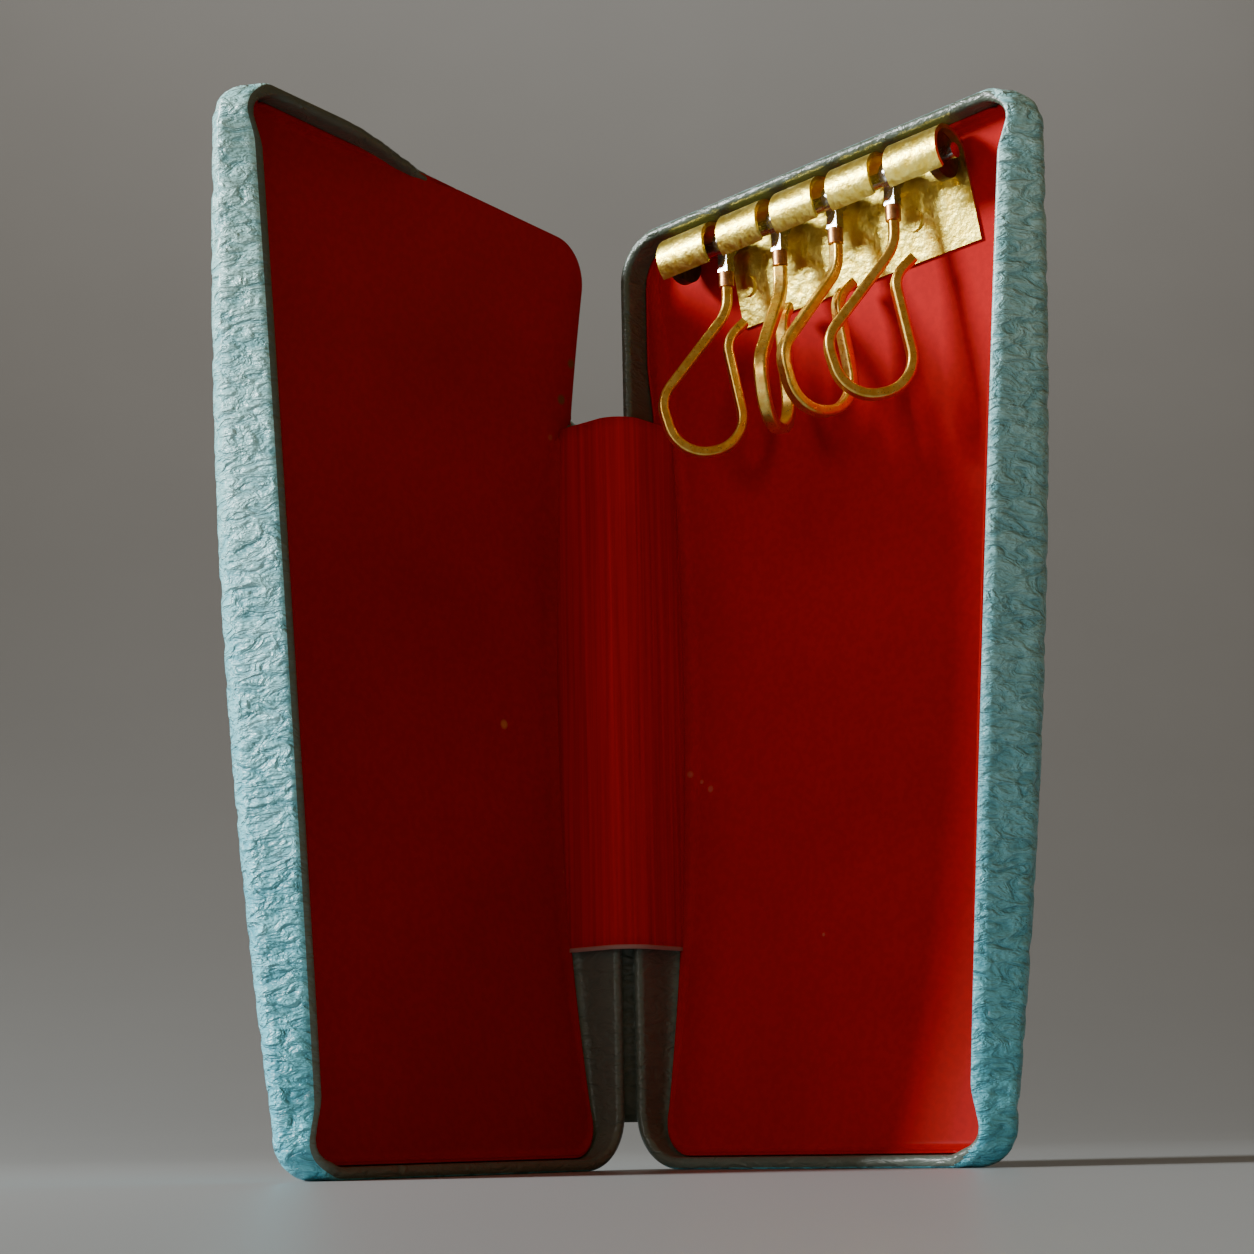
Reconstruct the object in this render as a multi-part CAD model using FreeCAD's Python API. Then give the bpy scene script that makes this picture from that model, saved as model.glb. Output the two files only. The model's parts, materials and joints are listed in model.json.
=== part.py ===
"""A hard-shell key case: two bowed tray covers on a spine hinge, with a bar of key hooks. Millimetres, +Z up."""
import FreeCAD, Part
import math
import os
from FreeCAD import Vector

# Case
case_height = 104.0
top_rise = 3.6               # free edge's top above the hinge's
top_width = 50.5             # hinge axis to free edge, at the top
foot_width = 41.0            # hinge axis to free edge, at the foot
middle_depth = 9.4           # parting plane to back, at half height
end_depth = 4.2              # parting plane to back, at top and foot
open_angle = 92.0            # between the covers as they stand
parting_gap = 0.4            # between the two rims when the case is shut
spine_setback = 0.35         # hinge axis to the outside of the spine wall
free_corner_radius = 4.0
spine_corner_radius = 5.5
curl_share = 0.49            # radius of the rolled free edge, of the depth
free_bulge = 2.7             # free edge beyond its rim
back_edge_share = 0.43       # radius of the spine wall's back edge, of the depth

# Layers of a cover
skin_thickness = 0.4
shell_thickness = 0.6
lining_thickness = 0.3
lining_drop = 0.3            # lining's edge below the rim
lining_corner_radius = 5.0

# Break in the left cover's spine wall
break_height_share = 0.765
break_start_share = 0.42     # where the top wall starts to rise, of the top width
break_reach_share = 0.78     # where it is whole again, of the top width
break_lip = 0.15             # lining's edge inside the broken outline, and the break past the walls

# Hinge
hinge_low_share = 0.235
hinge_high_share = 0.75
knuckles = 5
knuckle_gap = 0.3
knuckle_radius = 1.1
pin_radius = 0.55
running_clearance = 0.05
leaf_thickness = 0.35
leaf_depth = 3.4             # leaf's far edge from the parting plane
leaf_tab_depth = 0.55        # front of the leaf's tabs from the parting plane
rim_relief = 0.3             # room round the knuckles and under the tabs
hinge_rivet_shares = (0.1, 0.32, 0.68, 0.9)
hinge_rivet_radius = 0.5
hinge_rivet_head_radius = 0.85
hinge_rivet_head = 0.3
spring_thickness = 0.3
spring_height = 12.0
spring_leg_front = 0.35
spring_crown = 1.75          # front of the spring from the hinge axis
band_gap = 0.02              # between the bands that lie over each other

# Spine strip and spine skin
strip_low_share = 0.215
strip_high_share = 0.765
strip_thickness = 0.35
strip_leg_front = 0.2
strip_leg_back = 5.5
strip_crown = 2.4            # front of the strip from the hinge axis
fold_foot = 4.8              # lower end of the spine skin above the floor
fold_leg = 2.1               # spine skin's reach along the spine walls

# Key bar
hook_count = 4
bar_start = 7.4              # hinge axis to the bar's end
bar_free_margin = 6.1        # bar's other end to the free edge
bar_sheet = 0.45
hood_radius = 2.7            # middle of the rolled sheet
hood_lip_angle = -40.0
plate_drop = 8.8             # rod to the plate's lower edge
plate_start = 5.9            # hood's end to the plate's side
hood_headroom = 0.6
plate_seat = 0.12            # plate's middle to the lining
slot_width = 2.0
slot_back = 1.2              # slots end this far behind the rod
rod_radius = 0.8
rod_overhang = 0.5
plug_thickness = 1.0
plug_recess = 0.8
bar_rivet_radius = 0.6
bar_rivet_head_radius = 1.15
bar_rivet_head = 0.25
bar_rivet_drop = 4.4         # below the rod
bar_rivet_grip_share = 0.8   # of the shell

# Link and ferrule
eye_radius = 1.45
eye_width = 1.2
shoulder_width = 1.2
shoulder_depth = 1.3
neck_radius = 0.42
ferrule_radius = 0.8
ferrule_gap = 0.3            # hood's outside to the ferrule
ferrule_length = 1.6
ferrule_socket = 0.5
ferrule_lip = 0.45
chamber_radius = 0.6
head_clearance = 0.08

# Hook
tenon_radius = 0.36
tenon_reach = 0.2            # tenon below the ferrule
wire_thickness = 1.05
wire_width = 1.4
wire_edge_radius = 0.3
hook_width_share = 1.13      # of the hooks' pitch
hook_length = 18.75
hook_shares = ((0, 0), (0, -0.14), (-0.9, -0.66), (-0.68, -1), (0.24, -0.92), (-0.03, -0.31),
               (0.22, -0.2))
hook_bend_shares = (0, 0.59, 0.42, 0.47, 0.47, 0.35, 0)
swivel_angles = (46.0, 108.0, 72.0, 46.0)

overrun = 1.0

# Worked out from the sizes above
rim = parting_gap / 2
shell_inset = skin_thickness
lining_inset = shell_inset + shell_thickness
room_inset = lining_inset + lining_thickness
half_angle = math.radians(open_angle / 2)
half_height = case_height / 2
fold_thickness = spine_setback - band_gap
wall_face = spine_setback + room_inset
break_height = break_height_share * case_height
hinge_low = hinge_low_share * case_height
hinge_high = hinge_high_share * case_height
AXIS_X, AXIS_Y, AXIS_Z = Vector(1, 0, 0), Vector(0, 1, 0), Vector(0, 0, 1)
ORIGIN = Vector(0, 0, 0)


def width_at(z):
    """Rim width of a cover at a height."""
    return foot_width + (top_width - foot_width) * z / case_height


def top_at(u):
    """Height of a cover's top edge at a distance from the hinge axis."""
    return case_height - top_rise * (1 - u / top_width)


def depth_at(z):
    """Outer depth of a cover at a height: a shallow bow between the ends."""
    share = (z - half_height) / half_height
    return middle_depth - (middle_depth - end_depth) * share ** 2


def bow_slope(z):
    """How fast the depth shrinks with height."""
    return 2 * (middle_depth - end_depth) * (z - half_height) / half_height ** 2


# Small helpers
def box(low, high):
    """A box between two corners."""
    size = high - low
    return Part.makeBox(size.x, size.y, size.z, low)


def rod(radius, start, end):
    """A round bar from one point to another."""
    return Part.makeCylinder(radius, (end - start).Length, start, end - start)


def on_arc(centre, radius, angle):
    """A point of a circle in the XY plane, from an angle in degrees."""
    turn = math.radians(angle)
    return centre + Vector(radius * math.cos(turn), radius * math.sin(turn), 0)


def arc(centre, radius, start, end):
    """An arc in the XY plane between two angles in degrees."""
    points = [on_arc(centre, radius, angle) for angle in (start, (start + end) / 2, end)]
    return Part.Arc(*points).toShape()


def rounded_edges(points, radii, closed):
    """Straight runs through the points, joined by tangent arcs of the given radii."""
    count = len(points)
    ends = []
    for index, (point, radius) in enumerate(zip(points, radii)):
        if radius <= 0:
            ends.append((point, None, point))
            continue
        back = (points[index - 1] - point).normalize()
        ahead = (points[(index + 1) % count] - point).normalize()
        half_turn = back.getAngle(ahead) / 2
        reach = radius / math.tan(half_turn)
        bisector = (back + ahead).normalize()
        middle = point + bisector * (radius / math.sin(half_turn) - radius)
        ends.append((point + back * reach, middle, point + ahead * reach))
    edges = []
    for index, (entry, middle, leave) in enumerate(ends):
        if middle is not None:
            edges.append(Part.Arc(entry, middle, leave).toShape())
        if closed or index + 1 < count:
            edges.append(Part.LineSegment(leave, ends[(index + 1) % count][0]).toShape())
    return edges


def prism(points, radii, along):
    """A closed outline with rounded corners, pushed along a vector."""
    outline = Part.Wire(rounded_edges(points, radii, closed=True))
    return Part.Face(outline).extrude(along)


# Covers, in their own frame: X from the hinge to the free edge, Y from the rim to the back
def cover_section(z, inset, front, spine_at):
    """Outline of a cover across its width, at a height."""
    depth = depth_at(z)
    free = width_at(z) - inset
    back = depth - inset
    curl = curl_share * depth - inset
    edge = back_edge_share * depth - inset
    corner = Vector(spine_at + edge, back - edge, z)
    roll = Vector(free + free_bulge - curl, back - curl, z)
    lip = Vector(free + free_bulge * front / roll.y, front, z)
    lines = [
        Part.LineSegment(lip, Vector(spine_at, front, z)).toShape(),
        Part.LineSegment(Vector(spine_at, front, z), on_arc(corner, edge, 180)).toShape(),
        arc(corner, edge, 180, 90),
        Part.LineSegment(on_arc(corner, edge, 90), on_arc(roll, curl, 90)).toShape(),
        arc(roll, curl, 90, 0),
        Part.LineSegment(on_arc(roll, curl, 0), lip).toShape(),
    ]
    return Part.Wire(lines)


def cover_outline(inset, spine_at, low, high):
    """Corners of a cover seen from its open side, with their radii."""
    below = case_height - high
    free_at = width_at(high) + free_bulge - inset
    points = [
        Vector(spine_at, 0, low),
        Vector(width_at(low) + free_bulge - inset, 0, low),
        Vector(free_at, 0, top_at(free_at) - below),
        Vector(spine_at, 0, top_at(spine_at) - below),
    ]
    free, spine = free_corner_radius - inset, spine_corner_radius - inset
    return points, [spine, free, free, spine]


def cover_form(inset, front, spine_at=None, low=None, high=None):
    """The space inside a cover's outer face moved in by an inset, from a front plane to the back."""
    spine_at = spine_setback + inset if spine_at is None else spine_at
    low = inset if low is None else low
    high = case_height - inset if high is None else high
    bottom, top = min(low, 0) - overrun, max(high, case_height) + overrun
    levels = (bottom, half_height / 2, half_height, half_height * 3 / 2, top)
    sections = [cover_section(z, inset, front, spine_at) for z in levels]
    bowed = Part.makeLoft(sections, True, False)
    points, radii = cover_outline(inset, spine_at, low, high)
    sides = prism(points, radii, AXIS_Y * (middle_depth + overrun - front))
    sides.translate(AXIS_Y * front)
    return bowed.common(sides)


def lining_field():
    """The outline that the lining fills, pushed through the cover."""
    past = top_width + free_bulge + overrun
    points = [
        Vector(wall_face, 0, room_inset),
        Vector(past, 0, room_inset),
        Vector(past, 0, top_at(past) - room_inset),
        Vector(wall_face, 0, top_at(wall_face) - room_inset),
    ]
    radii = [lining_corner_radius, 0, 0, lining_corner_radius]
    field = prism(points, radii, AXIS_Y * (middle_depth + 2 * overrun))
    field.translate(AXIS_Y * -overrun)
    return field


def break_field():
    """Where the spine wall and part of the top wall are broken away."""
    reach = break_reach_share * top_width
    start = break_start_share * top_width
    inner, below = wall_face + break_lip, room_inset + break_lip
    points = [
        Vector(-overrun, 0, break_height),
        Vector(inner, 0, break_height),
        Vector(inner, 0, top_at(inner) - below),
        Vector(start, 0, top_at(start) - below),
        Vector(reach, 0, top_at(reach)),
        Vector(reach, 0, case_height + overrun),
        Vector(-overrun, 0, case_height + overrun),
    ]
    field = prism(points, [0] * len(points), AXIS_Y * (middle_depth + 2 * overrun))
    field.translate(AXIS_Y * -overrun)
    return field


def hinge_room():
    """What the hinge needs cut out of a cover's spine wall."""
    tab_back = leaf_tab_depth + leaf_thickness
    low = Vector(-overrun, -overrun, hinge_low - knuckle_gap)
    high = Vector(wall_face, tab_back, hinge_high + knuckle_gap)
    barrel = rod(knuckle_radius + rim_relief, AXIS_Z * low.z, AXIS_Z * high.z)
    return box(low, high).fuse(barrel)


def before(front):
    """The room in front of a plane."""
    past = top_width + free_bulge + overrun
    return box(Vector(-overrun, -2 * overrun, -overrun), Vector(past, front, case_height + 2 * overrun))


def cover_layers():
    """Skin, shell and lining of a whole cover."""
    outside = cover_form(0, rim)
    shell_space = cover_form(shell_inset, rim + skin_thickness)
    lining_space = cover_form(lining_inset, -overrun)
    room = cover_form(room_inset, -overrun)
    field = lining_field()
    inner_wall = lining_space.cut(room)
    turned_in = inner_wall.cut(field).cut(before(rim))
    skin = outside.cut(shell_space).cut(lining_space).fuse(turned_in).removeSplitter()
    shell = shell_space.cut(lining_space)
    lining = inner_wall.common(field).cut(before(rim + lining_drop))
    return {"outer_skin": skin, "shell": shell, "lining": lining}


def broken_layers(layers):
    """The same layers with the spine wall broken out at the top, and the lining left on the floor there."""
    field = break_field()
    reach = {"spine_at": -overrun, "high": case_height + overrun}
    stub = lining_inset + break_lip
    before_shell = cover_form(stub, -overrun, **reach).common(field)
    before_lining = cover_form(room_inset, -overrun, **reach)
    edge = {"spine_at": spine_setback + break_lip, "high": case_height - break_lip}
    bared = cover_form(stub, rim + lining_drop, **edge).cut(before_lining).common(field)
    return {
        "outer_skin": layers["outer_skin"].cut(before_shell),
        "shell": layers["shell"].cut(before_shell),
        "lining": layers["lining"].fuse(bared).removeSplitter(),
    }


# Hinge, in a cover's frame
def knuckle_spans():
    """Lower and upper end of each knuckle."""
    pitch = (hinge_high - hinge_low) / knuckles
    lows = [hinge_low + index * pitch for index in range(knuckles)]
    return [(low, low + pitch - knuckle_gap) for low in lows]


def hinge_leaf(first, bore):
    """A leaf on the spine wall, with every second knuckle from the first one."""
    tab_back = leaf_tab_depth + leaf_thickness
    leaf_face = wall_face + leaf_thickness
    foot, top = Vector(wall_face, leaf_tab_depth, hinge_low), Vector(leaf_face, leaf_depth, hinge_high)
    leaf = box(foot, top - AXIS_Z * knuckle_gap)
    for low, high in knuckle_spans()[first::2]:
        leaf = leaf.fuse(rod(knuckle_radius, AXIS_Z * low, AXIS_Z * high))
        leaf = leaf.fuse(box(Vector(pin_radius, leaf_tab_depth, low), Vector(leaf_face, tab_back, high)))
    hole = rod(bore, AXIS_Z * (hinge_low - overrun), AXIS_Z * (hinge_high + overrun))
    return leaf.cut(hole).removeSplitter()


def hinge_rivet_set():
    """Rivets through the leaf, the turned-in skin and the shell."""
    depth = (leaf_depth + leaf_tab_depth + leaf_thickness) / 2
    head_face = wall_face + leaf_thickness
    rivets = []
    for share in hinge_rivet_shares:
        z = hinge_low + share * (hinge_high - hinge_low)
        seat = Vector(head_face, depth, z)
        shank = rod(hinge_rivet_radius, Vector(spine_setback + shell_inset, depth, z), seat)
        head = rod(hinge_rivet_head_radius, seat, seat + AXIS_X * hinge_rivet_head)
        rivets.append(shank.fuse(head))
    return Part.makeCompound(rivets)


# Bands over the hinge, standing between the two covers
def in_row(u, v):
    """A point of the right cover's frame, seen from above, as the case stands."""
    return Vector(u * math.sin(half_angle) + v * math.cos(half_angle),
                  v * math.sin(half_angle) - u * math.cos(half_angle), 0)


def mirrored(point):
    """The same point of the left cover."""
    return Vector(-point.x, point.y, point.z)


def arch_band(leg_at, leg_front, leg_back, thickness, crown, low, high):
    """A band from one spine wall over the front of the hinge to the other."""
    front = [in_row(leg_at + thickness, leg_back), in_row(leg_at + thickness, leg_front)]
    back = [in_row(leg_at, leg_back), in_row(leg_at, leg_front)]
    over, under = Vector(0, -crown, 0), Vector(0, thickness - crown, 0)
    edges = [
        Part.LineSegment(front[0], front[1]).toShape(),
        Part.Arc(front[1], over, mirrored(front[1])).toShape(),
        Part.LineSegment(mirrored(front[1]), mirrored(front[0])).toShape(),
        Part.LineSegment(mirrored(front[0]), mirrored(back[0])).toShape(),
        Part.LineSegment(mirrored(back[0]), mirrored(back[1])).toShape(),
        Part.Arc(mirrored(back[1]), under, back[1]).toShape(),
        Part.LineSegment(back[1], back[0]).toShape(),
        Part.LineSegment(back[0], front[0]).toShape(),
    ]
    band = Part.Face(Part.Wire(edges)).extrude(AXIS_Z * (high - low))
    band.translate(AXIS_Z * low)
    return band


def spine_fold():
    """Leatherette that lies on both spine walls and rounds the hinge behind."""
    inner = knuckle_radius + rim_relief
    outer = inner + fold_thickness
    side = open_angle / 2
    leg = [in_row(0, outer), in_row(0, fold_leg), in_row(fold_thickness, fold_leg),
           in_row(fold_thickness, inner), in_row(0, inner)]
    far_leg = [mirrored(point) for point in leg]
    edges = [arc(ORIGIN, outer, side, 180 - side), arc(ORIGIN, inner, side, 180 - side)]
    for run in (leg, far_leg):
        edges += [Part.LineSegment(start, end).toShape() for start, end in zip(run, run[1:])]
    outline = Part.Wire(Part.__sortEdges__(edges))
    fold = Part.Face(outline).extrude(AXIS_Z * (break_height - fold_foot))
    fold.translate(AXIS_Z * fold_foot)
    return fold


# Key bar, in its own frame: X along the rod, Y towards the cover's floor, the rod at the origin
hood_outer = hood_radius + bar_sheet / 2
hood_inner = hood_radius - bar_sheet / 2
rod_height = top_at(bar_start) - room_inset - hood_headroom - hood_outer
bar_length = width_at(rod_height) - bar_free_margin - bar_start
hook_pitch = bar_length / (hook_count + 1)
hook_width = hook_width_share * hook_pitch
plate_middle = plate_drop / 2
rise = top_rise / top_width
rod_middle = rod_height + rise * bar_length / 2
bar_tilt = math.atan(bow_slope(rod_middle - plate_middle))
seat_height = rod_middle - plate_middle * math.cos(bar_tilt) + hood_outer * math.sin(bar_tilt)
seat_depth = depth_at(seat_height) - room_inset - plate_seat
rod_depth = seat_depth - plate_middle * math.sin(bar_tilt) - hood_outer * math.cos(bar_tilt)
into_floor = Vector(0, 1, math.tan(bar_tilt)).normalize()
along_bar = Vector(1, -rise * math.tan(bar_tilt), rise).normalize()
rod_start = Vector(bar_start, rod_depth + (rod_middle - rod_height) * math.tan(bar_tilt), rod_height)
level_along = Vector(along_bar.x, along_bar.y, 0)


def on_hood(radius, angle):
    """A point of the hood's section, from an angle that starts at the front and goes up."""
    turn = math.radians(angle)
    return Vector(0, -radius * math.cos(turn), radius * math.sin(turn))


def hood_arc(radius, start, end):
    """An arc of the hood's section."""
    return Part.Arc(*[on_hood(radius, angle) for angle in (start, (start + end) / 2, end)]).toShape()


def bar_rivet_set():
    """Rivets through the plate and lining into the shell, behind the outer hooks."""
    grip = hood_outer + plate_seat + lining_thickness + bar_rivet_grip_share * shell_thickness
    rivets = []
    for slot in (1, hook_count):
        seat = Vector(slot * hook_pitch, hood_inner, -bar_rivet_drop)
        head = rod(bar_rivet_head_radius, seat - AXIS_Y * bar_rivet_head, seat)
        rivets.append(head.fuse(rod(bar_rivet_radius, seat, seat + AXIS_Y * (grip - hood_inner))))
    return Part.makeCompound(rivets)


def key_bar():
    """A plate rolled over at its top to a hood, with a slot for each hook."""
    corners = [on_hood(hood_outer, 180), Vector(0, hood_outer, -plate_drop), Vector(0, hood_inner, -plate_drop),
               on_hood(hood_inner, 180)]
    edges = [Part.LineSegment(start, end).toShape() for start, end in zip(corners, corners[1:])]
    edges.append(hood_arc(hood_inner, 180, hood_lip_angle))
    lip = [on_hood(hood_inner, hood_lip_angle), on_hood(hood_outer, hood_lip_angle)]
    edges.append(Part.LineSegment(*lip).toShape())
    edges.append(hood_arc(hood_outer, hood_lip_angle, 180))
    bar = Part.Face(Part.Wire(edges)).extrude(AXIS_X * bar_length)
    reach = hood_outer + overrun
    for slot in range(1, hook_count + 1):
        low = Vector(slot * hook_pitch - slot_width / 2, -reach, -reach)
        bar = bar.cut(box(low, Vector(low.x + slot_width, slot_back, reach)))
    side = box(Vector(-overrun, 0, -plate_drop - overrun), Vector(plate_start, reach, 0))
    return bar.cut(side).cut(bar_rivet_set())


def bar_rod():
    """The rod that the links hang on."""
    return rod(rod_radius, AXIS_X * -rod_overhang, AXIS_X * (bar_length + rod_overhang))


def bar_plugs():
    """A disc in each end of the hood, round the rod."""
    plugs = []
    for start in (plug_recess, bar_length - plug_recess - plug_thickness):
        disc = rod(hood_inner, AXIS_X * start, AXIS_X * (start + plug_thickness))
        plugs.append(disc.cut(bar_rod()))
    return Part.makeCompound(plugs)


def laid(shape, along, across, place):
    """A shape moved so that its X lies along one direction and its Y along another."""
    upright = along.cross(across)
    rows = zip(along, across, upright, place)
    matrix = FreeCAD.Matrix(*[value for row in rows for value in row], 0, 0, 0, 1)
    placed = shape.copy()
    placed.Placement = FreeCAD.Placement(matrix).multiply(placed.Placement)
    return placed


def on_bar(shape):
    """Lay a shape of the bar's frame on the right cover's floor."""
    return laid(shape, along_bar, into_floor, rod_start)


# Hooks, hanging from the rod at the origin
ferrule_top = hood_outer + ferrule_gap
ferrule_foot = ferrule_top + ferrule_length
chamber_top = ferrule_top + ferrule_socket
chamber_foot = ferrule_foot - ferrule_lip
wire_start = ferrule_foot + tenon_reach


def down(distance):
    """A point below the rod."""
    return AXIS_Z * -distance


def hook_link():
    """An eye on the rod with a neck plumb below it."""
    half = AXIS_X * (eye_width / 2)
    eye = rod(eye_radius, half * -1, half)
    neck = rod(neck_radius, down((eye_radius + rod_radius) / 2), down(chamber_top))
    reach = Vector(shoulder_width / 2, shoulder_depth / 2, 0)
    neck = neck.fuse(box(down(ferrule_top) - reach, down(rod_radius) + reach))
    through = Vector(level_along.Length, 0, along_bar.z) * eye_width
    hole = rod(rod_radius + running_clearance, through * -1, through)
    return eye.fuse(neck).cut(hole).removeSplitter()


def hook_ferrule():
    """A sleeve that grips the neck and holds the hook's head in a chamber."""
    sleeve = rod(ferrule_radius, down(ferrule_top), down(ferrule_foot))
    sleeve = sleeve.cut(rod(neck_radius, down(ferrule_top), down(chamber_top)))
    sleeve = sleeve.cut(rod(chamber_radius, down(chamber_top), down(chamber_foot)))
    return sleeve.cut(rod(tenon_radius + running_clearance, down(chamber_foot), down(ferrule_foot)))


def key_hook():
    """A headed tenon, and flat wire bent to an open pear loop."""
    head_top, head_foot = chamber_top + head_clearance, chamber_foot - head_clearance
    tenon = rod(chamber_radius - head_clearance, down(head_top), down(head_foot))
    tenon = tenon.fuse(rod(tenon_radius, down(head_foot), down(wire_start)))
    points = [Vector(x * hook_width, 0, z * hook_length - wire_start) for x, z in hook_shares]
    path = Part.Wire(rounded_edges(points, [share * hook_width for share in hook_bend_shares], closed=False))
    half_x, half_y = wire_thickness / 2, wire_width / 2
    corners = [Vector(x, y, -wire_start) for x, y in
               ((-half_x, -half_y), (half_x, -half_y), (half_x, half_y), (-half_x, half_y))]
    profile = Part.Wire(rounded_edges(corners, [wire_edge_radius] * len(corners), closed=True))
    sweep = Part.BRepOffsetAPI.MakePipeShell(path)
    sweep.add(profile)
    sweep.build()
    sweep.makeSolid()
    return tenon.fuse(sweep.shape()).removeSplitter()


def hook_set(slot):
    """Link, ferrule and hook at a slot of the bar, with the hook swivelled as it rests."""
    hook = key_hook()
    hook.rotate(ORIGIN, AXIS_Z, swivel_angles[slot - 1])
    pieces = {f"hook_link_{slot}": hook_link(), f"hook_ferrule_{slot}": hook_ferrule(), f"key_hook_{slot}": hook}
    place = rod_start + along_bar * (slot * hook_pitch)
    along = level_along / level_along.Length
    return {name: laid(shape, along, AXIS_Z.cross(along), place) for name, shape in pieces.items()}


# Pieces of each cover, then the whole case as it stands
layers = cover_layers()
room = hinge_room()
rivets = hinge_rivet_set()
bar_rivets = on_bar(bar_rivet_set())

right = {
    "right_outer_skin": layers["outer_skin"].cut(room).cut(rivets),
    "right_shell": layers["shell"].cut(room).cut(rivets).cut(bar_rivets),
    "right_lining": layers["lining"].cut(bar_rivets),
    "hinge_leaf_right": hinge_leaf(0, pin_radius).cut(rivets),
    "hinge_rivets_right": rivets,
    "hinge_pin": rod(pin_radius, AXIS_Z * hinge_low, AXIS_Z * (hinge_high - knuckle_gap)),
    "key_bar": on_bar(key_bar()),
    "key_bar_axle": on_bar(bar_rod()),
    "key_bar_plugs": on_bar(bar_plugs()),
    "key_bar_rivets": bar_rivets,
}
for slot in range(1, hook_count + 1):
    right.update(hook_set(slot))

broken = broken_layers(layers)
left = {
    "left_outer_skin": broken["outer_skin"].cut(room).cut(rivets),
    "left_shell": broken["shell"].cut(room).cut(rivets),
    "left_lining": broken["lining"],
    "hinge_leaf_left": hinge_leaf(1, pin_radius + running_clearance).cut(rivets),
    "hinge_rivets_left": rivets,
}

spring_at = wall_face + leaf_thickness + band_gap
strip_at = spring_at + spring_thickness + band_gap
hinge_middle = (hinge_low + hinge_high) / 2
spine = {
    "spine_skin": spine_fold(),
    "spine_lining": arch_band(strip_at, strip_leg_front, strip_leg_back, strip_thickness, strip_crown,
                              strip_low_share * case_height, strip_high_share * case_height),
    "hinge_spring": arch_band(spring_at, spring_leg_front, leaf_depth, spring_thickness, spring_crown,
                              hinge_middle - spring_height / 2, hinge_middle + spring_height / 2),
}

nodes = {}
for name, shape in right.items():
    nodes[name] = shape.copy()
    nodes[name].rotate(ORIGIN, AXIS_Z, open_angle / 2 - 90)
for name, shape in left.items():
    placed = shape.copy()
    placed.rotate(ORIGIN, AXIS_Z, open_angle / 2 - 90)
    nodes[name] = placed.mirror(ORIGIN, AXIS_X)
nodes.update(spine)

# Stand the case on the floor with its middle over the origin
extent = nodes["right_outer_skin"].optimalBoundingBox()
shift = Vector(0, -(extent.YMin + extent.YMax) / 2, 0)
os.makedirs("parts", exist_ok=True)
for name, shape in nodes.items():
    shape.translate(shift)
    shape.exportStep(f"parts/{name}.step")


def as_stands(point):
    """A direction of the right cover's frame as the case stands."""
    return in_row(point.x, point.y) + AXIS_Z * point.z


print("hinge axis", shift)
print("rod along", as_stands(along_bar))
for slot in range(1, hook_count + 1):
    print("hook", slot, as_stands(rod_start + along_bar * (slot * hook_pitch)) + shift)
for name, shape in nodes.items():
    print(name, shape.isValid(), len(shape.Solids), round(shape.Volume, 3))
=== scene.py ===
"""A key case standing open on a pale floor: leatherette covers, crimson linings and brass key hooks."""
import bpy
import json
import math
import numpy as np
from mathutils import Matrix, Vector


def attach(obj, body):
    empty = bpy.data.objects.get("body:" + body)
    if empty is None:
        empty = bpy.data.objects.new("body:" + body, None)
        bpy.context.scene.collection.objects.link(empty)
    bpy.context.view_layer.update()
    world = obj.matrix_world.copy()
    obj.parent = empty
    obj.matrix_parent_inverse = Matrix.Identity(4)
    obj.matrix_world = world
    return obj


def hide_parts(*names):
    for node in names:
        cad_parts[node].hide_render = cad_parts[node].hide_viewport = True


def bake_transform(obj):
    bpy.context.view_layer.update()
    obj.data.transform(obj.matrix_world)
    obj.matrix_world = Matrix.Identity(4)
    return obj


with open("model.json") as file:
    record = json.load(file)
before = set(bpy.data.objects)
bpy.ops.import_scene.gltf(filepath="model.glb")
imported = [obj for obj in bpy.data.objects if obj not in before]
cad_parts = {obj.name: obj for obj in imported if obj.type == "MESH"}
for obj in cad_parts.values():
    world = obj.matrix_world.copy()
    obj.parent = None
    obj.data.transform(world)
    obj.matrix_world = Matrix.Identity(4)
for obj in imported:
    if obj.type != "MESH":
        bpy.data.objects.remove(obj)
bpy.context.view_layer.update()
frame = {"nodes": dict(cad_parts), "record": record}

# Sizes shared with the solids, in millimetres
MM = 0.001
CASE_HEIGHT, TOP_RISE = 104.0, 3.6
TOP_WIDTH, FOOT_WIDTH = 50.5, 41.0
MIDDLE_DEPTH, END_DEPTH = 9.4, 4.2
HALF_ANGLE = math.radians(46.0)
RIM = 0.2
SPINE_SETBACK = 0.35
FREE_CORNER, SPINE_CORNER = 4.0, 5.5
CURL_SHARE, BACK_EDGE_SHARE = 0.49, 0.43
FREE_BULGE = 2.7
END_EDGE = 1.0
WALL, LINING = 1.3, 0.3
BREAK_HEIGHT = 0.765 * CASE_HEIGHT
BREAK_START, BREAK_REACH = 0.42 * TOP_WIDTH, 0.78 * TOP_WIDTH
HINGE = next(joint for joint in frame["record"]["behaviour"]["joints"] if joint["name"] == "cover_hinge")
HINGE_Y = HINGE["pos_m"][1] / MM
STRIP_LOW, STRIP_HIGH = 0.215 * CASE_HEIGHT, BREAK_HEIGHT

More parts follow.
